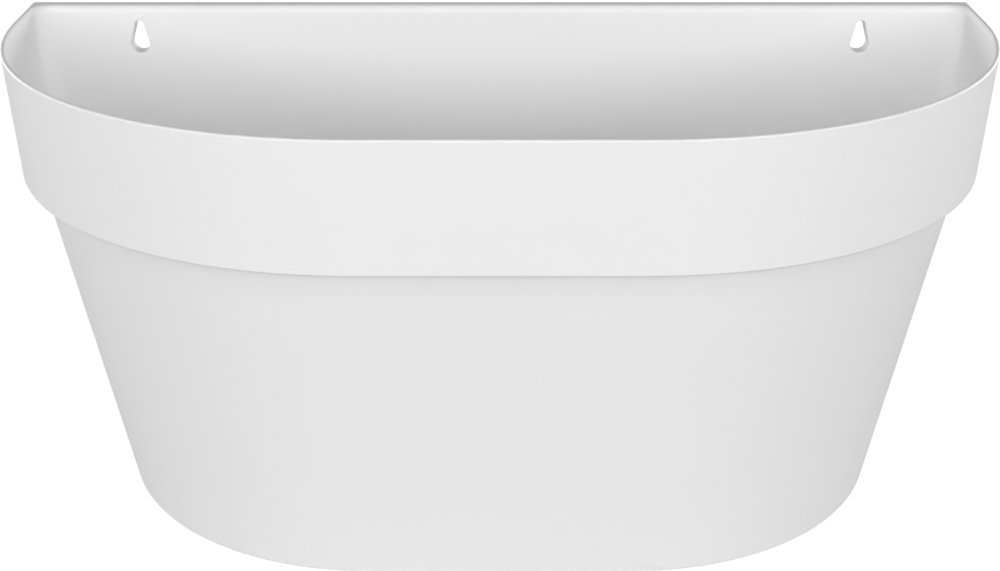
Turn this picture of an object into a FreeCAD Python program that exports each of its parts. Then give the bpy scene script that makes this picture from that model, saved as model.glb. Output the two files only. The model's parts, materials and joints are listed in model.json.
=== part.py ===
import FreeCAD, Part
import math
import os

# Half-oval wall planter, moulded in one piece, with two push-in plugs in its floor.
# Millimetres. X runs along the wall, Y points into the wall, Z is up.
# The origin lies on the wall plane, on the centre line, level with the underside.

V = FreeCAD.Vector

# Rim and overall size
rim_width = 460.0
rim_depth = 240.0
height = 212.5
front_flat = 117.0          # straight middle of the front, between the two large corners
side_straight = 48.5        # straight end wall, from the wall plane to the large corner

# Upper collar and the body under it
collar_height = 58.0
collar_taper = 5.7          # how far the collar leans in over its height
ledge_width = 7.7           # step from the collar in to the body
body_taper = 34.9           # how far the body leans in from the ledge to the base

# Walls
wall = 2.5
floor_thickness = 2.8
foot_height = 3.0           # the floor stands this far above the foot rim
foot_wall = 3.0
rear_gap = 7.0              # the back panel stands this far off the wall

# Rounds
rim_flat = 0.4              # level strip left between the rounded edges of the rim
lip_height = 3.5            # inner edge of the rim rolls over this height
back_lip_width = 3.5
collar_round = 2.2
ledge_round = 2.0
ledge_edge_round = 1.5
base_round = 1.2
floor_round = 4.0
outer_corner = 1.0
inner_corner = 8.0
foot_corner = 4.0
pocket_round = 3.0

# Keyholes for the wall screws, wide end down
keyhole_spacing = 354.0
keyhole_head_diameter = 9.0
keyhole_neck_diameter = 4.2
keyhole_neck_drop = 9.5     # below the rim
keyhole_travel = 9.5        # from the wide end up to the neck
keyhole_boss_wall = 2.2

# Drain holes and their plugs
drain_spacing = 180.0
drain_bore = 14.1
drain_rim_wall = 2.2
drain_rim_drop = 2.0        # the collar round the hole hangs this far under the floor
plug_clearance = 0.05       # on the radius
plug_flange_diameter = 24.0
plug_flange_thickness = 1.8
plug_skirt_wall = 1.6
plug_lead_in = 0.8
plug_tab_length = 12.0
plug_tab_width = 2.4
plug_tab_height = 5.0
plug_tab_corner = 3.0
plug_edge_round = 0.6

cut_over = 5.0              # cutting tools run this far past the face that they cut

# Sizes that follow from those above
rim_round = (wall - rim_flat) / 2
foot_round = min(base_round, foot_wall / 2)
ledge_height = height - collar_height
base_inset = collar_taper + ledge_width + body_taper
body_top_inset = collar_taper + ledge_width
floor_top = foot_height + floor_thickness
panel_front = rear_gap + wall
base_depth = rim_depth - base_inset
plug_radius = drain_bore / 2 - plug_clearance
drain_y = -(panel_front + base_depth) / 2
keyhole_z = height - keyhole_neck_drop
keyhole_x = keyhole_spacing / 2


def body_inset(z):
    """Outer inset of the body from the rim line, at height z."""
    return body_top_inset + body_taper * (ledge_height - z) / ledge_height


def collar_inset(z):
    """Outer inset of the collar from the rim line, at height z."""
    return collar_taper * (height - z) / collar_height


def plan(inset, back, corner):
    """The half-oval outline as (poles, weights) spans, from the back line round to the left.

    Every span's poles move in a straight line with inset and back, so spans at two heights match.
    """
    a = rim_width / 2 - inset
    d = rim_depth - inset
    f = front_flat / 2
    s = side_straight
    quarter = math.sqrt(0.5)
    right = [
        ([(a - corner, -back), (a, -back), (a, -back - corner)], [1, quarter, 1]),
        ([(a, -back - corner), (a, -s)], [1, 1]),
        ([(a, -s), (a, -d), (f, -d)], [1, quarter, 1]),
    ]
    left = [([(-x, y) for x, y in reversed(p)], w) for p, w in reversed(right)]
    front = ([(f, -d), (-f, -d)], [1, 1])
    rear = ([(corner - a, -back), (a - corner, -back)], [1, 1])
    return [rear] + right + [front] + left


def spline_edge(poles, weights):
    """A straight edge from two poles, or a conic edge from three."""
    if len(poles) == 2:
        return Part.LineSegment(poles[0], poles[1]).toShape()
    curve = Part.BSplineCurve()
    curve.buildFromPolesMultsKnots(poles, [3, 3], [0, 1], False, 2, weights)
    return curve.toShape()


def skin_face(rows, span_weights, step_weights):
    """One face through matching spans: a plane where all is level or straight, else a rational patch."""
    straight = len(span_weights) == 2 and len(step_weights) == 2
    level = len({pole.z for row in rows for pole in row}) == 1
    if straight or level:
        rising = [[row[i] for row in rows] for i in (0, -1)]
        edges = [
            spline_edge(rows[0], span_weights),
            spline_edge(rising[1], step_weights),
            spline_edge(rows[-1], span_weights),
            spline_edge(rising[0], step_weights),
        ]
        return Part.Face(Part.Wire(edges))
    poles = [[row[i] for row in rows] for i in range(len(span_weights))]
    weights = [[u * v for v in step_weights] for u in span_weights]
    u_order = len(span_weights)
    v_order = len(step_weights)
    patch = Part.BSplineSurface()
    patch.buildFromPolesMultsKnots(
        poles, [u_order] * 2, [v_order] * 2, [0, 1], [0, 1],
        False, False, u_order - 1, v_order - 1, weights)
    return patch.toShape()


def outline_at(point, corner):
    """The outline at one profile point (inset, back, z), as spans of vectors, the back line first."""
    inset, back, z = point
    return [([V(x, y, z) for x, y in poles], weights) for poles, weights in plan(inset, back, corner)]


def rim_line(point, corner):
    """The closed outline at one profile point."""
    return Part.Wire([spline_edge(poles, weights) for poles, weights in outline_at(point, corner)])


def upright_back(steps, corner):
    """The one flat face behind all the steps that keep the same back line."""
    lines = [[outline_at(point, corner)[0][0] for point in points] for points, _ in steps]
    left = [spline_edge([line[0] for line in run], step[1]) for run, step in zip(lines, steps)]
    right = [spline_edge([line[1] for line in run], step[1]) for run, step in zip(lines, steps)]
    low = spline_edge(lines[0][0], [1, 1])
    high = spline_edge(lines[-1][-1], [1, 1])
    return Part.Face(Part.Wire([low] + right + [high] + left[::-1]))


def half_oval_skin(steps, corner):
    """The faces of half-oval outlines that follow a profile, open at both ends.

    Each step is ([points], [weights]) with two points for a straight run and three for a bend.
    """
    upright = [step for step in steps if len({point[1] for point in step[0]}) == 1]
    upright = [step for step in upright if step[0][0][1] == upright[0][0][0][1]]
    faces = [upright_back(upright, corner)]
    for step in steps:
        points, step_weights = step
        rings = [outline_at(point, corner) for point in points]
        first_span = 1 if step in upright else 0
        for spans in list(zip(*rings))[first_span:]:
            rows = [poles for poles, _ in spans]
            faces.append(skin_face(rows, spans[0][1], step_weights))
    return faces


def sewn_solid(faces):
    """A solid from faces that meet edge to edge."""
    shell = Part.makeShell(faces)
    shell.sewShape()
    solid = Part.makeSolid(shell)
    if solid.Volume < 0:
        solid.reverse()
    return solid


def between(a, b, t):
    """The point a share t of the way from a to b."""
    return tuple(p + (q - p) * t for p, q in zip(a, b))


def profile(points, rounds):
    """Straight runs through the points (inset, back, z), with a round of each radius at its point."""
    steps = []
    start = points[0]
    for before, here, after, radius in zip(points, points[1:], points[2:], rounds):
        into = (here[0] - before[0], here[2] - before[2])
        out = (after[0] - here[0], after[2] - here[2])
        length_in = math.hypot(*into)
        length_out = math.hypot(*out)
        cosine = (into[0] * out[0] + into[1] * out[1]) / (length_in * length_out)
        half_turn = math.acos(cosine) / 2
        trim = radius * math.tan(half_turn)
        bend_start = between(here, before, trim / length_in)
        bend_end = between(here, after, trim / length_out)
        steps.append(([start, bend_start], [1, 1]))
        steps.append(([bend_start, here, bend_end], [1, math.cos(half_turn), 1]))
        start = bend_end
    steps.append(([start, points[-1]], [1, 1]))
    return steps


def outer_profile():
    """The outer skin, foot to rim."""
    points = [
        (base_inset + foot_wall, 0, 0),
        (base_inset, 0, 0),
        (body_top_inset, 0, ledge_height),
        (collar_taper, 0, ledge_height),
        (0, 0, height),
        (wall, wall, height),
    ]
    steps = profile(points, [foot_round, ledge_round, collar_round, rim_round])
    return steps[1:-1]


def inner_profile():
    """The inner skin, floor to the rolled inner edge of the rim."""
    inner_ledge = ledge_height + wall
    floor_inset = body_inset(floor_top) + wall
    shelf_inset = body_inset(inner_ledge) + wall
    collar_foot = collar_inset(inner_ledge) + wall
    lip_start = (collar_inset(height - lip_height) + wall, panel_front, height - lip_height)
    lip_corner = (wall, panel_front, height)
    lip_end = (wall - rim_round, panel_front - back_lip_width, height)
    points = [
        (floor_inset + floor_round, panel_front + floor_round, floor_top),
        (floor_inset, panel_front, floor_top),
        (shelf_inset, panel_front, inner_ledge),
        (collar_foot, panel_front, inner_ledge),
        lip_start,
    ]
    steps = profile(points, [floor_round, ledge_edge_round, ledge_round])
    steps.append(([lip_start, lip_corner, lip_end], [1, math.sqrt(0.5), 1]))
    return steps[1:]


def foot_profile():
    """The inside of the foot rim, up to the underside of the floor."""
    low = (body_inset(0) + foot_wall, foot_wall, 0)
    high = (body_inset(foot_height) + foot_wall, foot_wall, foot_height)
    return [([low, high], [1, 1])]


def ring_face(first, first_corner, second, second_corner):
    """The level ring between two outlines."""
    wires = [rim_line(first, first_corner), rim_line(second, second_corner)]
    return Part.makeFace(wires, "Part::FaceMakerBullseye")


def vessel():
    """The moulding before its rear hollow and its holes, as three skins, two rings and the floor."""
    outer = outer_profile()
    inner = inner_profile()
    foot = foot_profile()
    faces = half_oval_skin(outer, outer_corner)
    faces += half_oval_skin(inner, inner_corner)
    faces += half_oval_skin(foot, foot_corner)
    faces.append(ring_face(outer[-1][0][-1], outer_corner, inner[-1][0][-1], inner_corner))
    faces.append(ring_face(outer[0][0][0], outer_corner, foot[0][0][0], foot_corner))
    faces.append(Part.Face(rim_line(inner[0][0][0], inner_corner)))
    faces.append(Part.Face(rim_line(foot[0][0][-1], foot_corner)))
    return sewn_solid(faces)


def edges_along_y(shape):
    """The edges of a shape that run square to the wall."""
    return [e for e in shape.Edges if abs(e.tangentAt(e.FirstParameter).y) > math.sqrt(0.5)]


def circle_at(shape, z):
    """The edge of a round shape that lies level at height z."""
    return [e for e in shape.Edges if math.isclose(e.CenterOfMass.z, z)]


def rear_pocket():
    """The hollow between the back panel and the wall."""
    inner_ledge = ledge_height + wall
    top = height - wall
    right = [
        (rim_width / 2 - wall - body_inset(floor_top), floor_top),
        (rim_width / 2 - wall - body_inset(inner_ledge), inner_ledge),
        (rim_width / 2 - wall - collar_inset(inner_ledge), inner_ledge),
        (rim_width / 2 - wall - collar_inset(top), top),
    ]
    outline = right + [(-x, z) for x, z in reversed(right)]
    corners = [V(x, cut_over, z) for x, z in outline + outline[:1]]
    pocket = Part.Face(Part.makePolygon(corners)).extrude(V(0, -rear_gap - cut_over, 0))
    return pocket.makeFillet(pocket_round, edges_along_y(pocket))


def teardrop(x, grow, start, end):
    """A keyhole-shaped prism from y = start back to y = end, its outline grown by a wall."""
    head = keyhole_head_diameter / 2 + grow
    neck = keyhole_neck_diameter / 2 + grow
    lean = math.asin((head - neck) / keyhole_travel)
    low = keyhole_z - keyhole_travel

    def at(centre, radius, angle):
        return V(x + radius * math.cos(angle), start, centre + radius * math.sin(angle))

    edges = [
        Part.Arc(at(low, head, math.pi - lean), at(low, head, -math.pi / 2), at(low, head, lean)).toShape(),
        Part.LineSegment(at(low, head, lean), at(keyhole_z, neck, lean)).toShape(),
        Part.Arc(at(keyhole_z, neck, lean), at(keyhole_z, neck, math.pi / 2),
                 at(keyhole_z, neck, math.pi - lean)).toShape(),
        Part.LineSegment(at(keyhole_z, neck, math.pi - lean), at(low, head, math.pi - lean)).toShape(),
    ]
    return Part.Face(Part.Wire(edges)).extrude(V(0, end - start, 0))


def disc(x, radius, low, high):
    """A round plate or pin on a drain hole's axis."""
    return Part.makeCylinder(radius, high - low, V(x, drain_y, low))


def planter_shell():
    """The moulding: wall, collar, floor, back panel, keyholes and drain holes."""
    shell = vessel().cut(rear_pocket())
    for side in (-1, 1):
        x = side * keyhole_x
        shell = shell.fuse(teardrop(x, keyhole_boss_wall, 0, -rear_gap))
        shell = shell.cut(teardrop(x, 0, cut_over, -panel_front - cut_over))
        x = side * drain_spacing / 2
        rim_low = foot_height - drain_rim_drop
        shell = shell.fuse(disc(x, drain_bore / 2 + drain_rim_wall, rim_low, foot_height))
        shell = shell.cut(disc(x, drain_bore / 2, -cut_over, floor_top + cut_over))
    return shell.removeSplitter().Solids[0]


def drain_plug(x):
    """A hollow push-in plug: flange on the floor, skirt down the hole, pull tab on top."""
    flange_top = floor_top + plug_flange_thickness
    skirt_low = foot_height - drain_rim_drop
    flange = disc(x, plug_flange_diameter / 2, floor_top, flange_top)
    flange = flange.makeFillet(plug_edge_round, circle_at(flange, flange_top))
    skirt = disc(x, plug_radius, skirt_low, floor_top)
    skirt = skirt.makeChamfer(plug_lead_in, circle_at(skirt, skirt_low))
    hollow = disc(x, plug_radius - plug_skirt_wall, skirt_low - cut_over, floor_top)
    corner = V(x - plug_tab_length / 2, drain_y - plug_tab_width / 2, flange_top)
    tab = Part.makeBox(plug_tab_length, plug_tab_width, plug_tab_height, corner)
    top_corners = [e for e in edges_along_y(tab) if e.CenterOfMass.z > flange_top + plug_tab_corner]
    tab = tab.makeFillet(plug_tab_corner, top_corners)
    return flange.fuse(skirt.cut(hollow)).fuse(tab).removeSplitter().Solids[0]


def write(node, shape):
    """Check one piece and write it to its STEP file."""
    box = shape.BoundBox
    print(node, "valid", shape.isValid(), "solids", len(shape.Solids), "volume", round(shape.Volume, 1),
          "box", [round(v, 2) for v in (box.XMin, box.XMax, box.YMin, box.YMax, box.ZMin, box.ZMax)])
    shape.exportStep("parts/" + node + ".step")


os.makedirs("parts", exist_ok=True)
write("planter_shell", planter_shell())
write("drain_plug_left", drain_plug(-drain_spacing / 2))
write("drain_plug_right", drain_plug(drain_spacing / 2))
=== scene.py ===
"""Half-oval wall planter: the moulded shell, its two drain plugs and a plain studio.

The frame holds the planter at its real size. X runs along the wall, Y points into the wall,
Z is up, and the origin is on the wall plane, level with the underside.
"""
import json
import math
from collections import namedtuple

import bmesh
import bpy
from mathutils import Euler, Matrix, Vector


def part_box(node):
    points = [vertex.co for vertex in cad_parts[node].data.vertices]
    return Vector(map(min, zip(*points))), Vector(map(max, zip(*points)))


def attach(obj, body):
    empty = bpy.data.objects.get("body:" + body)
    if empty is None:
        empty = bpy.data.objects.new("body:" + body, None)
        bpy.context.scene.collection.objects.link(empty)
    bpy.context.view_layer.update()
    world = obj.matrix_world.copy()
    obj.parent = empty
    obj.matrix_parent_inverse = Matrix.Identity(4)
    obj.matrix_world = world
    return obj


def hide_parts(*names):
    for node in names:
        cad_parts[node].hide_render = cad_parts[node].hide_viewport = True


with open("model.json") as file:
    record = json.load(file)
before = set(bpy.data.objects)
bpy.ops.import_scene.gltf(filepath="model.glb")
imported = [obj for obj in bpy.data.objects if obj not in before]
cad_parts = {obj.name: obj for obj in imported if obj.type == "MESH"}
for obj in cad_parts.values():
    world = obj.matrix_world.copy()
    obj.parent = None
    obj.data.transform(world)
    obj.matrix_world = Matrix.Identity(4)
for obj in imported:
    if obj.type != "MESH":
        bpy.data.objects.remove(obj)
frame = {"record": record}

bl_info = {
    "name": "Wall planter",
    "version": (1, 0, 0),
    "blender": (4, 5, 0),
    "location": "View3D > Sidebar > Planter",
    "description": "Builds a half-oval wall planter, its drain plugs and a studio",
    "category": "Add Mesh",
}

MM = 0.001
HAIR = 1e-6                     # two places closer than this are the same place
SHARP_FOLD = math.radians(30)   # faces that fold more than this meet in a sharp line
TAB_FOLD = math.radians(45)     # the pull tab is rounded where its faces fold more than this
QUAD = 4                        # only a flat panel has more corners than this
FINE_PIECES = 2                 # pieces in the smallest rounds
SHELL_LOW, SHELL_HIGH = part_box("planter_shell")
PLUG_NODES = ("drain_plug_left", "drain_plug_right")
RECORD_COLOURS = {m["slot"]: tuple(m["base_color"][:3]) for m in frame["record"]["materials"]}

# Each lamp: degrees around the planter from its front, degrees up, width and height in metres,
# and watts. One that stands to a side has a twin on the other side.
Softbox = namedtuple("Softbox", "name around up width height watts")
SOFTBOXES = (
    Softbox("front_lowest", around=0, up=3, width=7.0, height=0.9, watts=24),
    Softbox("front_low", around=0, up=10, width=7.0, height=0.9, watts=71),
    Softbox("front_middle", around=0, up=18, width=7.0, height=0.9, watts=70),
    Softbox("front_high", around=0, up=28, width=7.0, height=1.0, watts=48),
    Softbox("front_highest", around=0, up=48, width=6.0, height=1.2, watts=45),
    Softbox("above", around=0, up=85, width=4.0, height=4.0, watts=22),
    Softbox("corner", around=45, up=12, width=3.0, height=1.2, watts=27),
    Softbox("side_low", around=75, up=12, width=5.0, height=1.2, watts=61),
    Softbox("side_high", around=75, up=35, width=5.0, height=1.2, watts=28),
    Softbox("rear", around=130, up=5, width=4.0, height=1.2, watts=133),
)

# Sockets that share their names with others on the same node, and so are reached by number.
MIX_FACTOR = 0
MIX_NUMBERS = (2, 3)
MIX_COLOURS = (6, 7)
MIX_COLOUR_OUT = 2
MIX_SHADERS = (1, 2)
FLOAT, COLOUR = "NodeSocketFloat", "NodeSocketColor"

# The part of a noise, from 0 to 1, over which each effect grows from none to full.
CLOUD_RANGE = (0.35, 0.70)
WEAR_AND_SHEEN_RANGE = (0.40, 0.65)
DUST_RANGE = (0.42, 0.72)
LEVEL_RANGE = (0.7, 1.0)        # how far up a face looks where dust begins to stay, and all stays


# ---------------------------------------------------------------- sizes and colours

def length(name, description, default_mm):
    """A size that a user can change, given in millimetres and kept in metres."""
    return bpy.props.FloatProperty(
        name=name, description=description, default=default_mm * MM,
        min=0.0, precision=5, subtype="DISTANCE", unit="LENGTH")


def turn(name, description, degrees):
    """An angle that a user can change."""
    return bpy.props.FloatProperty(
        name=name, description=description, default=math.radians(degrees),
        subtype="ANGLE", unit="ROTATION")


def pieces(name, description, default):
    """How many equal pieces a run or a round is divided into."""
    return bpy.props.IntProperty(name=name, description=description, default=default, min=1)


def share(name, description, default):
    """A share from nothing to all."""
    return bpy.props.FloatProperty(
        name=name, description=description, default=default, min=0.0, max=1.0, subtype="FACTOR")


def colour(name, description, default):
    """A surface colour."""
    return bpy.props.FloatVectorProperty(
        name=name, description=description, default=default, size=3, min=0.0, max=1.0,
        subtype="COLOR")


class ShellSizes(bpy.types.PropertyGroup):
    """Sizes of the moulded shell."""
    rim_width: length("Rim width", "Across the rim, end to end", 460.0)
    rim_depth: length("Rim depth", "From the wall to the front of the rim", 240.0)
    front_flat: length("Straight front", "Straight middle of the front", 117.0)
    side_straight: length("Straight end", "Straight end wall next to the wall", 48.5)
    collar_height: length("Band height", "Height of the band round the rim", 58.0)
    collar_taper: length("Band taper", "How far the band leans in", 5.7)
    ledge_width: length("Step width", "Step from the band in to the body", 7.7)
    body_taper: length("Body taper", "How far the body leans in to the base", 34.9)
    wall: length("Wall", "Thickness of the moulded wall", 2.5)
    floor_thickness: length("Floor thickness", "Thickness of the floor", 2.8)
    foot_height: length("Foot height", "Height of the floor over the foot rim", 3.0)
    foot_wall: length("Foot wall", "Thickness of the foot rim", 3.0)
    rear_gap: length("Rear gap", "From the wall to the back panel", 7.0)
    rim_flat: length("Rim flat", "Level strip on top of the rim", 0.4)
    lip_height: length("Lip height", "Height of the rolled inner edge of the rim", 3.5)
    back_lip_width: length("Back lip width", "Width of the rolled edge along the back", 3.5)
    collar_round: length("Band round", "Round on the lower edge of the band", 2.2)
    ledge_round: length("Step round", "Round in the inner corner of the step", 2.0)
    ledge_edge_round: length("Inner step round", "Round on the edge of the step inside", 1.5)
    base_round: length("Base round", "Round on the lowest edge", 1.2)
    floor_round: length("Floor round", "Round between the floor and the wall", 4.0)
    pocket_round: length("Rear round", "Round in the corners of the hollow behind", 3.0)
    outer_corner: length("Outer corner", "Corner next to the wall, outside", 1.0)
    inner_corner: length("Inner corner", "Corner next to the back panel, inside", 8.0)
    foot_corner: length("Foot corner", "Rear corner inside the foot rim", 4.0)
    edge_break: length("Broken edge", "Round left on an edge that the mould leaves sharp", 0.4)
    margin: length("Margin", "Even strip kept along an edge of a flat face", 3.0)
    straight_pieces: pieces("Straight pieces", "Pieces in half of the straight front", 6)
    arc_pieces: pieces("Arc pieces", "Pieces in each large corner", 44)
    corner_pieces: pieces("Corner pieces", "Pieces in each rear corner", 6)
    round_pieces: pieces("Round pieces", "Pieces in each rounded edge", 5)
    lip_pieces: pieces("Lip pieces", "Pieces in the rolled edge of the rim", 7)


class HoleSizes(bpy.types.PropertyGroup):
    """Sizes of the keyholes and of the drain holes."""
    keyhole_spacing: length("Keyhole spacing", "From neck to neck", 354.0)
    keyhole_head: length("Keyhole wide end", "Diameter of the wide end", 9.0)
    keyhole_neck: length("Keyhole neck", "Diameter of the neck", 4.2)
    keyhole_neck_drop: length("Neck drop", "Height of the rim over the neck", 9.5)
    keyhole_travel: length("Keyhole travel", "From the wide end up to the neck", 9.5)
    keyhole_boss_wall: length("Boss wall", "Wall round the keyhole, behind the panel", 2.2)
    keyhole_mouth: length("Mouth round", "Soft edge of the keyhole in front", 0.8)
    drain_bore: length("Drain bore", "Diameter of the drain hole", 14.1)
    drain_rim_wall: length("Drain rim wall", "Wall of the ring under the drain hole", 2.2)
    drain_rim_drop: length("Drain rim drop", "Height of the ring under the floor", 2.0)
    arc_pieces: pieces("Arc pieces", "Pieces in each round of a keyhole", 14)
    bore_pieces: pieces("Bore pieces", "Pieces round a drain hole", 40)


class PlugSizes(bpy.types.PropertyGroup):
    """Sizes of a drain plug that its place in the frame doesn't give."""
    flange_thickness: length("Flange thickness", "Thickness of the flange", 1.8)
    skirt_diameter: length("Skirt diameter", "Across the skirt in the hole", 14.0)
    skirt_wall: length("Skirt wall", "Thickness of the skirt", 1.6)
    lead_in: length("Lead-in", "Chamfer at the foot of the skirt", 0.8)
    tab_length: length("Tab length", "Length of the pull tab", 12.0)
    tab_width: length("Tab width", "Thickness of the pull tab", 2.4)
    tab_corner: length("Tab corner", "Round on the two top corners of the tab", 3.0)
    edge_round: length("Edge round", "Round on the edge of the flange", 0.6)
    tab_edge: length("Tab edge", "Round along the edges of the tab", 0.4)
    margin: length("Margin", "Even strip kept along the edge of the flange", 2.0)
    round_pieces: pieces("Round pieces", "Pieces in each rounded edge", 4)
    turn_pieces: pieces("Turn pieces", "Pieces round the plug", 56)


class Finishes(bpy.types.PropertyGroup):
    """Colours and wear of the two materials."""
    shell_colour: colour("Shell colour", "White of the moulding", (0.88, 0.88, 0.88))
    shell_shade: colour(
        "Shell shade", "Slightly darker white of the clouding", (0.865, 0.865, 0.865))
    # Painted sheen: a lighter white laid on the shell's rubbed rounded edges.
    shell_sheen_white: colour("Rubbed white and sheen", "Colour of rubbed edges", (0.90, 0.90, 0.90))
    dust_colour: colour("Dust", "Colour of the dust in corners", (0.60, 0.595, 0.58))
    plug_colour: colour("Plug colour", "Grey of the plugs", RECORD_COLOURS["plug_rubber"])
    plug_shade: colour("Plug shade", "Darker grey of the clouding", (0.52, 0.52, 0.51))
    clouding: share("Clouding", "Strength of the colour clouds", 0.35)
    # Strength of the rubbed-edge mask. It makes edges rougher, and on the shell it also lays the
    # painted sheen.
    wear_and_sheen: share("Wear", "How much rubbed edges show", 0.5)
    dust: share("Dust amount", "How much dust lies in the corners", 0.12)


class StudioLook(bpy.types.PropertyGroup):
    """Camera and light of the studio."""
    focal_length: bpy.props.FloatProperty(
        name="Focal length", description="Lens of the camera", default=72.1, unit="CAMERA")
    camera_distance: length("Camera distance", "From the wall plane, along the floor", 974.3)
    camera_height: length("Camera height", "Over the floor", 430.5)
    camera_pitch: turn("Camera pitch", "How far the camera looks down", 20.68)
    floor_size: length("Floor size", "Side of the square floor", 12000.0)
    floor_colour: colour("Floor colour", "Colour of the floor", (0.5, 0.5, 0.5))
    floor_lift: share("Floor lift", "White added to the floor as the camera sees it", 0.78)
    world_colour: colour("World colour", "Light from all round", (0.07, 0.07, 0.07))
    lamp_distance: length("Lamp distance", "From the planter to each lamp", 6000.0)
    light_level: share("Light level", "Share of each lamp's full power", 1.0)


# ---------------------------------------------------------------- drawing helpers

def verts_of(edges):
    """The vertices of some edges, each once."""
    return list({v for e in edges for v in e.verts})


def made_edges(made):
    """The edges in an operator's result that run between its new vertices."""
    verts = {v for v in made["geom"] if isinstance(v, bmesh.types.BMVert)}
    edges = [e for e in made["geom"] if isinstance(e, bmesh.types.BMEdge)]
    return [e for e in edges if set(e.verts) <= verts]


def line_to(bm, point, end, count):
    """A straight run from a point, in equal pieces."""
    made = bmesh.ops.spin(
        bm, geom=[point], cent=point.co, axis=(0, 0, 1), dvec=(Vector(end) - point.co) / count,
        angle=0, steps=count, use_merge=False, use_normal_flip=False, use_duplicate=False)
    return next(v for v in made["geom_last"] if isinstance(v, bmesh.types.BMVert))


def arc_to(bm, point, centre, axis, angle, count):
    """An arc from a point round a centre."""
    made = bmesh.ops.spin(
        bm, geom=[point], cent=centre, axis=axis, dvec=(0, 0, 0), angle=angle, steps=count,
        use_merge=False, use_normal_flip=False, use_duplicate=False)
    return next(v for v in made["geom_last"] if isinstance(v, bmesh.types.BMVert))


def scale_about(bm, verts, centre, factors):
    """Scale vertices about a point."""
    bmesh.ops.scale(bm, verts=verts, vec=factors, space=Matrix.Translation(-Vector(centre)))


def mirror_half(bm, edges):
    """Mirror edges across the middle plane, and join the two halves there."""
    bmesh.ops.mirror(
        bm, geom=verts_of(edges) + edges, matrix=Matrix.Identity(4), merge_dist=HAIR, axis="X")


def extrude_loop(bm, edges, step):
    """Extrude edges by a step and return the new ones."""
    new = made_edges(bmesh.ops.extrude_edge_only(bm, edges=edges))
    bmesh.ops.translate(bm, verts=verts_of(new), vec=step)
    return new


def round_edges(bm, edges, radius, count):
    """Round edges to a radius, whatever the angle between their faces."""
    bmesh.ops.recalc_face_normals(bm, faces=bm.faces)
    folds = [e.calc_face_angle() for e in edges if len(e.link_faces) == 2]
    fold = sum(folds) / len(folds)
    return bmesh.ops.bevel(
        bm, geom=edges, offset=radius * math.tan(fold / 2), offset_type="OFFSET",
        segments=count, profile=0.5, affect="EDGES", clamp_overlap=True, loop_slide=True,
        material=-1)


def mark_worn_and_sheen(bm, made):
    """Remember the middle of a rounded edge, where the moulding is rubbed and gets a painted
    sheen.
    """
    worn_and_sheen = bm.verts.layers.float["worn_and_sheen"]
    faces = set(made["faces"])
    for vert in made["verts"]:
        if all(f in faces for f in vert.link_faces):
            vert[worn_and_sheen] = 1.0


def in_plane(item, axis, place):
    """True if all of an edge or face lies in a plane square to an axis."""
    return all(abs(v.co[axis] - place) < HAIR for v in item.verts)


def fill_flat(bm, axis, place):
    """Close a flat face in a plane square to an axis, between its rim and the holes in it."""
    old = [f for f in bm.faces if in_plane(f, axis, place) and len(f.verts) > QUAD]
    bmesh.ops.delete(bm, geom=old, context="FACES_ONLY")
    edges = [e for e in bm.edges if len(e.link_faces) == 1 and in_plane(e, axis, place)]
    bmesh.ops.triangle_fill(bm, use_beauty=True, use_dissolve=False, edges=edges)


def new_piece(name, bm, material, body, slot, *nodes):
    """Make an object of a finished mesh, give it its body and hide its nodes; the slot is not
    used.
    """
    bmesh.ops.recalc_face_normals(bm, faces=bm.faces)
    for edge in bm.edges:
        edge.smooth = edge.calc_face_angle() < SHARP_FOLD
    mesh = bpy.data.meshes.new(name)
    bm.to_mesh(mesh)
    bm.free()
    mesh.shade_smooth()
    mesh.materials.append(material)
    piece = bpy.data.objects.new(name, mesh)
    bpy.context.scene.collection.objects.link(piece)
    shading = piece.modifiers.new("Even shading", "WEIGHTED_NORMAL")
    shading.keep_sharp = True
    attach(piece, body)
    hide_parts(*nodes)


# ---------------------------------------------------------------- the shell

class Outline:
    """A half-oval ring of edges, at one inset from the rim line and one height."""

    def __init__(self, bm, sizes, inset, back, corner, z, walls):
        self.bm = bm
        self.sizes = sizes
        self.inset = inset
        self.back = back
        self.corner = corner
        self.z = z
        self.walls = walls
        self.rear = None

    def edges(self):
        """The whole ring, closed along the back."""
        return self.walls + [self.rear]

    def close(self):
        """Add the straight edge along the back."""
        ends = [v for v in verts_of(self.walls) if abs(v.co.y + self.back) < HAIR]
        ends.sort(key=lambda v: v.co.x)
        self.rear = self.bm.edges.new((ends[0], ends[-1]))
        return self

    def step(self, inset, z, back=None, corner=None, whole=False):
        """Extrude the ring to another inset, height and corner, with or without its back edge."""
        back = self.back if back is None else back
        corner = self.corner if corner is None else corner
        half_front = self.sizes.front_flat / 2
        straight = self.sizes.side_straight
        new = extrude_loop(self.bm, self.edges() if whole else self.walls, (0, 0, z - self.z))
        inward = inset - self.inset
        half = self.sizes.rim_width / 2 - inset
        across = half - half_front
        deep = self.sizes.rim_depth - inset - straight
        front = [v for v in verts_of(new) if v.co.y < -straight + HAIR]
        rear = [v for v in verts_of(new) if v not in front]
        for side in (-1, 1):
            large = [v for v in front if v.co.x * side > half_front]
            scale_about(
                self.bm, large, (side * half_front, 0, 0), (across / (across + inward), 1, 1))
            small = [v for v in rear if v.co.x * side > 0]
            bmesh.ops.translate(self.bm, verts=small, vec=(-side * inward, self.back - back, 0))
            factor = corner / self.corner
            scale_about(self.bm, small, (side * half, -back, 0), (factor, factor, 1))
        scale_about(self.bm, front, (0, -straight, 0), (1, deep / (deep + inward), 1))
        ring = Outline(self.bm, self.sizes, inset, back, corner, z, new)
        if whole:
            ring.rear = next(e for e in new if in_plane(e, 1, -back) and e.calc_length() > across)
            ring.walls = [e for e in new if e is not ring.rear]
        return ring


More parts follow.
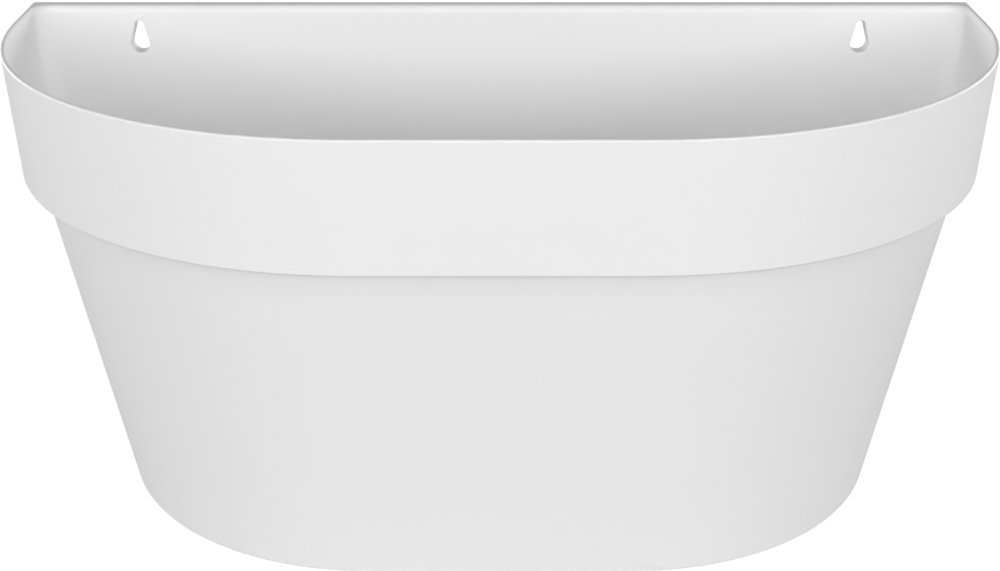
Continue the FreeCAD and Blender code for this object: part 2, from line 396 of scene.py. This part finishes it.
def draw_outline(bm, sizes, inset, back, corner, z):
    """Draw one closed half-oval from the middle of the front, and mirror it."""
    a = sizes.rim_width / 2 - inset
    d = sizes.rim_depth - inset
    f = sizes.front_flat / 2
    s = sizes.side_straight
    up = (0, 0, 1)
    point = line_to(bm, bm.verts.new((0, -d, z)), (f, -d, z), sizes.straight_pieces)
    point = arc_to(bm, point, (f, -s, z), up, math.pi / 2, sizes.arc_pieces)
    large = [v for v in bm.verts if v.co.x > f]
    scale_about(bm, large, (f, 0, 0), ((a - f) / (d - s), 1, 1))
    point = line_to(bm, point, (a, -back - corner, z), 1)
    arc_to(bm, point, (a - corner, -back - corner, z), up, math.pi / 2, sizes.corner_pieces)
    mirror_half(bm, list(bm.edges))
    return Outline(bm, sizes, inset, back, corner, z, list(bm.edges)).close()


def body_inset(sizes, z):
    """Outer inset of the body at a height."""
    ledge = SHELL_HIGH.z - sizes.collar_height
    return sizes.collar_taper + sizes.ledge_width + sizes.body_taper * (ledge - z) / ledge


def collar_inset(sizes, z):
    """Outer inset of the band at a height."""
    return sizes.collar_taper * (SHELL_HIGH.z - z) / sizes.collar_height


def draw_outside(bm, sizes):
    """The outer wall from the foot to the rim, with the flat rear face as one panel."""
    height = SHELL_HIGH.z
    ledge = height - sizes.collar_height
    foot = draw_outline(bm, sizes, body_inset(sizes, 0), 0, sizes.outer_corner, 0)
    under = foot.step(body_inset(sizes, ledge), ledge)
    over = under.step(sizes.collar_taper, ledge)
    rim = over.step(0, height).close()
    bmesh.ops.contextual_create(bm, geom=[e for e in bm.edges if in_plane(e, 1, 0)])
    return foot, under, over, rim


def draw_inside(bm, sizes, rim):
    """The inner wall from the rolled lip to the floor, with the back panel as one face."""
    height = SHELL_HIGH.z
    shelf = height - sizes.collar_height + sizes.wall
    floor = sizes.foot_height + sizes.floor_thickness
    panel = sizes.rear_gap + sizes.wall
    rim_round = (sizes.wall - sizes.rim_flat) / 2
    lip_foot = collar_inset(sizes, height - sizes.lip_height) + sizes.wall
    ring = rim
    for k in range(sizes.lip_pieces + 1):
        angle = math.pi / 2 * k / sizes.lip_pieces
        lean = (lip_foot - sizes.wall) * (1 - math.cos(angle))
        ring = ring.step(
            sizes.wall - rim_round * (1 - math.sin(angle)) + lean,
            height - sizes.lip_height * (1 - math.cos(angle)),
            panel - sizes.back_lip_width * (1 - math.sin(angle)),
            sizes.inner_corner, whole=True)
    shelf_out = ring.step(collar_inset(sizes, shelf) + sizes.wall, shelf)
    shelf_in = shelf_out.step(body_inset(sizes, shelf) + sizes.wall, shelf)
    bottom = shelf_in.step(body_inset(sizes, floor) + sizes.wall, floor).close()
    bmesh.ops.contextual_create(bm, geom=[e for e in bm.edges if in_plane(e, 1, -panel)])
    inner = sizes.floor_round + sizes.margin
    bottom.step(bottom.inset + inner, floor, bottom.back + inner, whole=True)
    return shelf_out, shelf_in, bottom


def draw_foot(sizes, foot):
    """The level foot rim and its inside, up to the underside of the floor."""
    inner = foot.step(
        body_inset(sizes, 0) + sizes.foot_wall, 0, sizes.foot_wall, sizes.foot_corner, whole=True)
    inner.step(
        body_inset(sizes, sizes.foot_height) + sizes.foot_wall, sizes.foot_height, whole=True)


def draw_rear_hollow(bm, sizes):
    """The hollow between the back panel and the wall."""
    half = sizes.rim_width / 2 - sizes.wall
    floor = sizes.foot_height + sizes.floor_thickness
    shelf = SHELL_HIGH.z - sizes.collar_height + sizes.wall
    top = SHELL_HIGH.z - sizes.wall
    right = [
        (half - body_inset(sizes, floor), floor),
        (half - body_inset(sizes, shelf), shelf),
        (half - collar_inset(sizes, shelf), shelf),
        (half - collar_inset(sizes, top), top),
    ]
    corners = [bm.verts.new((x, 0, z)) for x, z in right + [(-x, z) for x, z in reversed(right)]]
    loop = [bm.edges.new(pair) for pair in zip(corners, corners[1:] + corners[:1])]
    deep = extrude_loop(bm, loop, (0, -sizes.rear_gap, 0))
    bmesh.ops.contextual_create(bm, geom=deep)
    uprights = [e for v in corners for e in v.link_edges if e not in loop]
    for edge in uprights:
        round_edges(bm, [edge], sizes.pocket_round, sizes.round_pieces)


def draw_teardrop(bm, holes, x, y):
    """A keyhole outline, wide end down."""
    head = holes.keyhole_head / 2
    neck = holes.keyhole_neck / 2
    high = SHELL_HIGH.z - holes.keyhole_neck_drop
    low = high - holes.keyhole_travel
    lean = math.asin((head - neck) / holes.keyhole_travel)
    before = set(bm.edges)
    forward = (0, -1, 0)
    start = bm.verts.new((0, y, low - head))
    point = arc_to(bm, start, (0, y, low), forward, math.pi / 2 + lean, holes.arc_pieces)
    point = line_to(bm, point, (neck * math.cos(lean), y, high + neck * math.sin(lean)), 1)
    arc_to(bm, point, (0, y, high), forward, math.pi / 2 - lean, holes.arc_pieces)
    mirror_half(bm, [e for e in bm.edges if e not in before])
    outline = [e for e in bm.edges if e not in before]
    bmesh.ops.translate(bm, verts=verts_of(outline), vec=(x, 0, 0))
    return outline


def grow_teardrop(bm, holes, outline, x, growth):
    """Extrude a keyhole outline level to a larger one."""
    head = holes.keyhole_head / 2
    neck = holes.keyhole_neck / 2
    high = SHELL_HIGH.z - holes.keyhole_neck_drop
    low = high - holes.keyhole_travel
    turn_height = low + head * (head - neck) / holes.keyhole_travel
    new = extrude_loop(bm, outline, (0, 0, 0))
    wide = [v for v in verts_of(new) if v.co.z < turn_height + HAIR]
    narrow = [v for v in verts_of(new) if v not in wide]
    for verts, centre, radius in ((wide, low, head), (narrow, high, neck)):
        factor = 1 + growth / radius
        scale_about(bm, verts, (x, 0, centre), (factor, 1, factor))
    return new


def draw_keyhole(bm, sizes, holes, x):
    """One keyhole: its mouth in the panel, a tunnel to the wall and the boss round it."""
    panel = sizes.rear_gap + sizes.wall
    mouth = draw_teardrop(bm, holes, x, -panel)
    grow_teardrop(bm, holes, mouth, x, sizes.margin)
    tail = extrude_loop(bm, mouth, (0, panel, 0))
    end = grow_teardrop(bm, holes, tail, x, holes.keyhole_boss_wall)
    extrude_loop(bm, end, (0, -sizes.rear_gap, 0))
    # The mouth is marked as rubbed, which on the shell also lays a lighter painted sheen.
    mark_worn_and_sheen(bm, round_edges(bm, mouth, holes.keyhole_mouth, sizes.round_pieces))
    round_edges(bm, end, sizes.edge_break, FINE_PIECES)


def draw_circle(bm, x, y, z, radius, count):
    """A level circle of edges."""
    made = bmesh.ops.create_circle(
        bm, cap_ends=False, segments=count, radius=radius, matrix=Matrix.Translation((x, y, z)))
    return list({e for v in made["verts"] for e in v.link_edges})


def ring_to(bm, edges, centre, factor, rise):
    """Extrude a ring to another radius and height."""
    new = extrude_loop(bm, edges, (0, 0, rise))
    scale_about(bm, verts_of(new), centre, (factor, factor, 1))
    return new


def draw_drain(bm, sizes, holes, centre):
    """One drain hole with the ring that hangs under it."""
    floor = sizes.foot_height + sizes.floor_thickness
    low = sizes.foot_height - holes.drain_rim_drop
    bore = holes.drain_bore / 2
    mouth = draw_circle(bm, centre.x, centre.y, floor, bore, holes.bore_pieces)
    ring_to(bm, mouth, centre, 1 + sizes.margin / bore, 0)
    tail = ring_to(bm, mouth, centre, 1, low - floor)
    end = ring_to(bm, tail, centre, 1 + holes.drain_rim_wall / bore, 0)
    ring_to(bm, end, centre, 1, holes.drain_rim_drop)
    round_edges(bm, end, sizes.edge_break, FINE_PIECES)


class PLANTER_OT_shell(bpy.types.Operator):
    """Mould the planter's shell: band, body, floor, back panel and holes"""
    bl_idname = "planter.shell"
    bl_label = "Moulded shell"

    def execute(self, context):
        sizes = context.scene.planter_shell
        holes = context.scene.planter_holes
        bm = bmesh.new()
        bm.verts.layers.float.new("worn_and_sheen")
        foot, under, over, rim = draw_outside(bm, sizes)
        shelf_out, shelf_in, bottom = draw_inside(bm, sizes, rim)
        draw_foot(sizes, foot)
        count = sizes.round_pieces
        rim_round = (sizes.wall - sizes.rim_flat) / 2
        # These rounds are marked as rubbed, which on the shell also lays a lighter painted sheen.
        mark_worn_and_sheen(bm, round_edges(bm, rim.edges(), rim_round, count))
        mark_worn_and_sheen(bm, round_edges(bm, foot.walls, sizes.base_round, count))
        mark_worn_and_sheen(bm, round_edges(bm, over.walls, sizes.collar_round, count))
        round_edges(bm, under.walls, sizes.ledge_round, count)
        round_edges(bm, shelf_out.walls, sizes.ledge_round, count)
        round_edges(bm, shelf_in.walls, sizes.ledge_edge_round, count)
        round_edges(bm, bottom.edges(), sizes.floor_round, count)
        draw_rear_hollow(bm, sizes)
        for side in (-1, 1):
            draw_keyhole(bm, sizes, holes, side * holes.keyhole_spacing / 2)
        for node in PLUG_NODES:
            low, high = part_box(node)
            draw_drain(bm, sizes, holes, (low + high) / 2)
        fill_flat(bm, 1, 0)
        fill_flat(bm, 1, -sizes.rear_gap)
        fill_flat(bm, 1, -sizes.rear_gap - sizes.wall)
        fill_flat(bm, 2, sizes.foot_height)
        fill_flat(bm, 2, sizes.foot_height + sizes.floor_thickness)
        open_edges = [e for e in bm.edges if len(e.link_faces) != 2]
        if open_edges:
            raise RuntimeError("the shell has %d open edges" % len(open_edges))
        new_piece("moulded_shell", bm, shell_plastic(context.scene.planter_finish),
                  "shell", "shell_plastic", "planter_shell")
        return {"FINISHED"}


# ---------------------------------------------------------------- the drain plugs

def draw_plug(bm, plug, low, high):
    """One plug: flange on the floor, skirt down the hole, pull tab on top."""
    centre = (low + high) / 2
    shell = bpy.context.scene.planter_shell
    floor = shell.foot_height + shell.floor_thickness
    flange_radius = (high.x - low.x) / 2
    skirt = plug.skirt_diameter / 2
    hollow = skirt - plug.skirt_wall
    under = draw_circle(bm, centre.x, centre.y, floor, flange_radius, plug.turn_pieces)
    edge = ring_to(bm, under, centre, 1, plug.flange_thickness)
    ring_to(bm, edge, centre, 1 - plug.margin / flange_radius, 0)
    root = ring_to(bm, under, centre, skirt / flange_radius, 0)
    foot = ring_to(bm, root, centre, 1, low.z - floor)
    inner = ring_to(bm, foot, centre, hollow / skirt, 0)
    ring_to(bm, inner, centre, 1, floor - low.z)
    mark_worn_and_sheen(bm, round_edges(bm, edge, plug.edge_round, plug.round_pieces))
    round_edges(bm, foot, plug.lead_in, 1)
    draw_tab(bm, plug, centre, floor + plug.flange_thickness, high.z)
    fill_flat(bm, 2, floor + plug.flange_thickness)
    ceiling = [e for e in bm.edges if len(e.link_faces) == 1]
    bmesh.ops.triangle_fill(bm, use_beauty=True, use_dissolve=False, edges=ceiling)


def draw_tab(bm, plug, centre, base, top):
    """The pull tab, open at its foot."""
    sides = Matrix.Diagonal((plug.tab_length, plug.tab_width, top - base, 1))
    place = Matrix.Translation((centre.x, centre.y, (base + top) / 2))
    made = bmesh.ops.create_cube(bm, size=1, matrix=place @ sides)
    faces = {f for v in made["verts"] for f in v.link_faces}
    bmesh.ops.delete(bm, geom=[f for f in faces if in_plane(f, 2, base)], context="FACES_ONLY")
    edges = {e for v in made["verts"] for e in v.link_edges}
    ends = [
        e for e in edges
        if in_plane(e, 2, top) and abs(e.verts[0].co.x - e.verts[1].co.x) < HAIR]
    round_edges(bm, ends, plug.tab_corner, plug.round_pieces)
    tab = {f for f in bm.faces if f.calc_center_median().z > base + HAIR}
    sharp = [
        e for e in {e for f in tab for e in f.edges}
        if len(e.link_faces) == 2 and e.calc_face_angle() > TAB_FOLD]
    mark_worn_and_sheen(bm, round_edges(bm, sharp, plug.tab_edge, FINE_PIECES))


class PLANTER_OT_plugs(bpy.types.Operator):
    """Mould the two drain plugs"""
    bl_idname = "planter.plugs"
    bl_label = "Drain plugs"

    def execute(self, context):
        rubber = plug_rubber(context.scene.planter_finish)
        for node in PLUG_NODES:
            bm = bmesh.new()
            bm.verts.layers.float.new("worn_and_sheen")
            draw_plug(bm, context.scene.planter_plug, *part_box(node))
            body = node.replace("drain_", "")
            new_piece("rubber_" + node, bm, rubber, body, "plug_rubber", node)
        return {"FINISHED"}


# ---------------------------------------------------------------- materials

def new_group(name, inputs, outputs):
    """A shader node group with named sockets."""
    group = bpy.data.node_groups.new(name, "ShaderNodeTree")
    for kind, socket, default in inputs:
        made = group.interface.new_socket(name=socket, in_out="INPUT", socket_type=kind)
        made.default_value = default
    for kind, socket in outputs:
        group.interface.new_socket(name=socket, in_out="OUTPUT", socket_type=kind)
    return group, group.nodes.new("NodeGroupInput"), group.nodes.new("NodeGroupOutput")


def add(tree, kind, *links, **values):
    """Add a node, set its options and values, and link its inputs."""
    node = tree.nodes.new(kind)
    for key, value in values.items():
        if hasattr(node, key):
            setattr(node, key, value)
        else:
            node.inputs[key.replace("_", " ").capitalize()].default_value = value
    for source, socket in links:
        tree.links.new(source, node.inputs[socket])
    return node


def mix_colours(tree, factor, *colours):
    """Mix two colours, each a socket or a plain colour."""
    mix = add(tree, "ShaderNodeMix", (factor, MIX_FACTOR), data_type="RGBA")
    for number, value in zip(MIX_COLOURS, colours):
        if isinstance(value, bpy.types.NodeSocket):
            tree.links.new(value, mix.inputs[number])
        else:
            mix.inputs[number].default_value = (*value, 1)
    return mix.outputs[MIX_COLOUR_OUT]


def multiply(tree, first, second):
    """The product of two values."""
    node = add(tree, "ShaderNodeMath", (first, 0), (second, 1), operation="MULTIPLY")
    return node.outputs[0]


def stretch(tree, value, low, high):
    """Stretch the part of a value between two limits to run from 0 to 1."""
    node = add(tree, "ShaderNodeMapRange", (value, "Value"))
    node.inputs["From Min"].default_value = low
    node.inputs["From Max"].default_value = high
    return node.outputs["Result"]


def object_noise(tree, scale, detail):
    """Noise that stays with the piece."""
    place = add(tree, "ShaderNodeTexCoord")
    noise = add(tree, "ShaderNodeTexNoise", (place.outputs["Object"], "Vector"),
                (scale, "Scale"), Detail=detail)
    return noise.outputs["Fac"]


def mould_grain_group():
    """Fine grain of the mould over a broad, faint waviness, as one height."""
    group, inside, out = new_group(
        "Mould grain",
        [(FLOAT, "Grain scale", 1800.0), (FLOAT, "Wave scale", 14.0), (FLOAT, "Wave share", 0.5)],
        [(FLOAT, "Height")])
    grain = object_noise(group, inside.outputs["Grain scale"], detail=3.0)
    wave = object_noise(group, inside.outputs["Wave scale"], detail=1.0)
    both = add(group, "ShaderNodeMix", (inside.outputs["Wave share"], MIX_FACTOR),
               *zip((grain, wave), MIX_NUMBERS))
    group.links.new(both.outputs[0], out.inputs["Height"])
    return group


def clouding_group():
    """Broad, faint clouds of a second colour, with their mask."""
    group, inside, out = new_group(
        "Clouding",
        [(COLOUR, "Colour", (0.8, 0.8, 0.8, 1)), (COLOUR, "Shade", (0.7, 0.7, 0.7, 1)),
         (FLOAT, "Amount", 0.3), (FLOAT, "Scale", 9.0)],
        [(COLOUR, "Colour"), (FLOAT, "Mask")])
    noise = object_noise(group, inside.outputs["Scale"], detail=5.0)
    mask = stretch(group, noise, *CLOUD_RANGE)
    amount = multiply(group, mask, inside.outputs["Amount"])
    clouded = mix_colours(group, amount, inside.outputs["Colour"], inside.outputs["Shade"])
    group.links.new(clouded, out.inputs["Colour"])
    group.links.new(mask, out.inputs["Mask"])
    return group


def edge_wear_and_sheen_group():
    """Rubbed edges with a painted sheen: the marked edges, broken up by noise."""
    group, inside, out = new_group(
        "Edge wear and sheen", [(FLOAT, "Amount", 0.5), (FLOAT, "Scale", 60.0)], [(FLOAT, "Mask")])
    worn_and_sheen = add(group, "ShaderNodeAttribute", attribute_name="worn_and_sheen")
    noise = object_noise(group, inside.outputs["Scale"], detail=4.0)
    mask = multiply(group, worn_and_sheen.outputs["Fac"], stretch(group, noise, *WEAR_AND_SHEEN_RANGE))
    group.links.new(multiply(group, mask, inside.outputs["Amount"]), out.inputs["Mask"])
    return group


def dust_group():
    """Thin dust that settles on what faces up."""
    group, inside, out = new_group(
        "Settled dust", [(FLOAT, "Amount", 0.1), (FLOAT, "Scale", 110.0)], [(FLOAT, "Mask")])
    facing = add(group, "ShaderNodeNewGeometry")
    split = add(group, "ShaderNodeSeparateXYZ", (facing.outputs["Normal"], "Vector"))
    level = stretch(group, split.outputs["Z"], *LEVEL_RANGE)
    noise = object_noise(group, inside.outputs["Scale"], detail=6.0)
    mask = multiply(group, level, stretch(group, noise, *DUST_RANGE))
    group.links.new(multiply(group, mask, inside.outputs["Amount"]), out.inputs["Mask"])
    return group


def use_group(tree, name, build, **values):
    """Place a shared group with its own values, and build it for the first to need it."""
    node = tree.nodes.new("ShaderNodeGroup")
    node.node_tree = bpy.data.node_groups.get(name) or build()
    for key, value in values.items():
        socket = node.inputs[key.replace("_", " ")]
        socket.default_value = (*value, 1) if hasattr(value, "__len__") else value
    return node


def moulded(name, look, base, shade, worn_and_sheen, rough, rough_spread, specular, grain, wave_share, bump,
            dust):
    """A moulded surface: clouded colour, rubbed edges with a painted sheen on the shell, settled
    dust and mould grain.
    """
    material = bpy.data.materials.new(name)
    material.use_nodes = True
    tree = material.node_tree
    surface = tree.nodes["Principled BSDF"]
    surface.inputs["Specular IOR Level"].default_value = specular
    clouds = use_group(
        tree, "Clouding", clouding_group, Colour=base, Shade=shade, Amount=look.clouding)
    wear_and_sheen = use_group(tree, "Edge wear and sheen", edge_wear_and_sheen_group, Amount=look.wear_and_sheen)
    settled = use_group(tree, "Settled dust", dust_group, Amount=dust)
    # Marked edges take a lighter white on the shell, which is a painted sheen, and the dust colour
    # on the plugs.
    rubbed_and_sheen = mix_colours(tree, wear_and_sheen.outputs["Mask"], clouds.outputs["Colour"], worn_and_sheen)
    dusty = mix_colours(tree, settled.outputs["Mask"], rubbed_and_sheen, look.dust_colour)
    tree.links.new(dusty, surface.inputs["Base Color"])
    roughness = add(tree, "ShaderNodeMapRange", (clouds.outputs["Mask"], "Value"))
    roughness.inputs["To Min"].default_value = rough - rough_spread
    roughness.inputs["To Max"].default_value = rough + rough_spread
    rougher = add(tree, "ShaderNodeMath", (wear_and_sheen.outputs["Mask"], 0),
                  (roughness.outputs["Result"], 2), operation="MULTIPLY_ADD")
    rougher.inputs[1].default_value = rough_spread
    tree.links.new(rougher.outputs[0], surface.inputs["Roughness"])
    texture = use_group(
        tree, "Mould grain", mould_grain_group, Grain_scale=grain, Wave_share=wave_share)
    relief = add(
        tree, "ShaderNodeBump", (texture.outputs["Height"], "Height"), Distance=bump, Strength=1.0)
    tree.links.new(relief.outputs["Normal"], surface.inputs["Normal"])
    return material


def shell_plastic(look):
    """White satin moulded plastic."""
    return moulded(
        "White moulded plastic", look, look.shell_colour, look.shell_shade, look.shell_sheen_white,
        rough=0.48, rough_spread=0.05, specular=0.45, grain=1800.0, wave_share=0.9, bump=0.1 * MM,
        dust=look.dust)


def plug_rubber(look):
    """Soft grey moulded rubber."""
    return moulded(
        "Grey rubber", look, look.plug_colour, look.plug_shade, look.dust_colour,
        rough=0.72, rough_spread=0.08, specular=0.35, grain=2600.0, wave_share=0.2,
        bump=0.05 * MM, dust=look.dust * 2)


def studio_floor(look):
    """Grey floor that keeps the shadow, white to the camera and clear from below."""
    material = bpy.data.materials.new("Studio floor")
    material.use_nodes = True
    tree = material.node_tree
    tree.nodes.clear()
    out = add(tree, "ShaderNodeOutputMaterial")
    matt = add(tree, "ShaderNodeBsdfDiffuse", Color=(*look.floor_colour, 1))
    rays = add(tree, "ShaderNodeLightPath")
    lift = add(tree, "ShaderNodeMath", (rays.outputs["Is Camera Ray"], 0), operation="MULTIPLY")
    lift.inputs[1].default_value = look.floor_lift
    glow = add(tree, "ShaderNodeEmission", (lift.outputs[0], "Strength"))
    both = add(tree, "ShaderNodeAddShader", (matt.outputs[0], 0), (glow.outputs[0], 1))
    clear = add(tree, "ShaderNodeBsdfTransparent")
    sides = add(tree, "ShaderNodeNewGeometry")
    seen = add(tree, "ShaderNodeMixShader", (sides.outputs["Backfacing"], MIX_FACTOR),
               *zip((both.outputs[0], clear.outputs[0]), MIX_SHADERS))
    tree.links.new(seen.outputs[0], out.inputs["Surface"])
    return material


# ---------------------------------------------------------------- the studio

def add_floor(look, sizes):
    """The plain floor, open inside the foot rim so that light reaches the underside from below."""
    bm = bmesh.new()
    draw_outline(bm, sizes, body_inset(sizes, 0) + sizes.foot_wall / 2, sizes.foot_wall / 2,
                 sizes.foot_corner, 0)
    half = look.floor_size / 2
    corner = bm.verts.new((half, half, 0))
    for end in ((-half, half, 0), (-half, -half, 0), (half, -half, 0), (half, half, 0)):
        corner = line_to(bm, corner, end, 1)
    bmesh.ops.remove_doubles(bm, verts=bm.verts, dist=HAIR)
    bmesh.ops.triangle_fill(bm, use_beauty=True, edges=bm.edges, normal=(0, 0, 1))
    bmesh.ops.reverse_faces(bm, faces=[f for f in bm.faces if f.normal.z < 0])
    mesh = bpy.data.meshes.new("floor")
    bm.to_mesh(mesh)
    bm.free()
    mesh.materials.append(studio_floor(look))
    floor = bpy.data.objects.new("floor", mesh)
    bpy.context.scene.collection.objects.link(floor)


def add_softbox(look, softbox, around):
    """A large soft lamp that the camera doesn't see, aimed at the rim of the planter."""
    lamp = bpy.data.lights.new(softbox.name, "AREA")
    lamp.shape = "RECTANGLE"
    lamp.size = softbox.width
    lamp.size_y = softbox.height
    lamp.energy = softbox.watts * look.light_level
    box = bpy.data.objects.new(softbox.name + "_softbox", lamp)
    bpy.context.scene.collection.objects.link(box)
    target = Vector((0, (SHELL_LOW.y + SHELL_HIGH.y) / 2, SHELL_HIGH.z))
    turned = Euler((-math.radians(softbox.up), 0, math.radians(around)))
    away = turned.to_matrix() @ Vector((0, -look.lamp_distance, 0))
    box.location = target + away
    box.rotation_euler = (-away).to_track_quat("-Z", "Y").to_euler()
    box.visible_camera = False


def add_world(look):
    """Faint light from above, the floor's light from below, and white to the camera."""
    world = bpy.data.worlds.new("Studio")
    bpy.context.scene.world = world
    world.use_nodes = True
    tree = world.node_tree
    tree.nodes.clear()
    out = add(tree, "ShaderNodeOutputWorld")
    rays = add(tree, "ShaderNodeLightPath")
    place = add(tree, "ShaderNodeTexCoord")
    split = add(tree, "ShaderNodeSeparateXYZ", (place.outputs["Generated"], "Vector"))
    below = add(tree, "ShaderNodeMath", (split.outputs["Z"], 0), operation="LESS_THAN")
    below.inputs[1].default_value = 0.0
    fill = mix_colours(tree, below.outputs[0], look.world_colour, look.floor_colour)
    seen = mix_colours(tree, rays.outputs["Is Camera Ray"], fill, (1, 1, 1))
    light = add(tree, "ShaderNodeBackground", (seen, "Color"))
    tree.links.new(light.outputs[0], out.inputs["Surface"])


def add_camera(look):
    """The camera in front of the planter, looking down on it."""
    lens = bpy.data.cameras.new("camera")
    lens.lens = look.focal_length
    lens.clip_end = look.floor_size
    camera = bpy.data.objects.new("camera", lens)
    bpy.context.scene.collection.objects.link(camera)
    camera.location = (0, -look.camera_distance, look.camera_height)
    camera.rotation_euler = (math.pi / 2 - look.camera_pitch, 0, 0)
    bpy.context.scene.camera = camera


class PLANTER_OT_studio(bpy.types.Operator):
    """Set up the floor, the lamps, the world and the camera"""
    bl_idname = "planter.studio"
    bl_label = "Studio"

    def execute(self, context):
        look = context.scene.planter_studio
        add_floor(look, context.scene.planter_shell)
        add_world(look)
        add_camera(look)
        for softbox in SOFTBOXES:
            for around in sorted({softbox.around, -softbox.around}):
                add_softbox(look, softbox, around)
        context.scene.view_settings.view_transform = "Standard"
        return {"FINISHED"}


# ---------------------------------------------------------------- panel and registration

class PLANTER_PT_panel(bpy.types.Panel):
    """Sizes, finishes and build steps of the planter"""
    bl_idname = "PLANTER_PT_panel"
    bl_label = "Wall planter"
    bl_space_type = "VIEW_3D"
    bl_region_type = "UI"
    bl_category = "Planter"

    def draw(self, context):
        for operator in OPERATORS:
            self.layout.operator(operator.bl_idname)
        for name, group in GROUPS.items():
            box = self.layout.box()
            box.label(text=group.__doc__)
            for key in group.__annotations__:
                box.prop(getattr(context.scene, name), key)


GROUPS = {
    "planter_shell": ShellSizes,
    "planter_holes": HoleSizes,
    "planter_plug": PlugSizes,
    "planter_finish": Finishes,
    "planter_studio": StudioLook,
}
OPERATORS = (PLANTER_OT_shell, PLANTER_OT_plugs, PLANTER_OT_studio)


def register():
    """Register the classes and put their sizes on the scene."""
    for group in (*GROUPS.values(), *OPERATORS, PLANTER_PT_panel):
        bpy.utils.register_class(group)
    for name, group in GROUPS.items():
        setattr(bpy.types.Scene, name, bpy.props.PointerProperty(type=group))


def unregister():
    """Take the sizes and the classes away again."""
    for name in GROUPS:
        delattr(bpy.types.Scene, name)
    for group in (PLANTER_PT_panel, *reversed(OPERATORS), *reversed(GROUPS.values())):
        bpy.utils.unregister_class(group)


def main():
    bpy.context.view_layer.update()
    register()
    bpy.ops.planter.shell()
    bpy.ops.planter.plugs()
    bpy.ops.planter.studio()


if __name__ == "__main__":
    main()
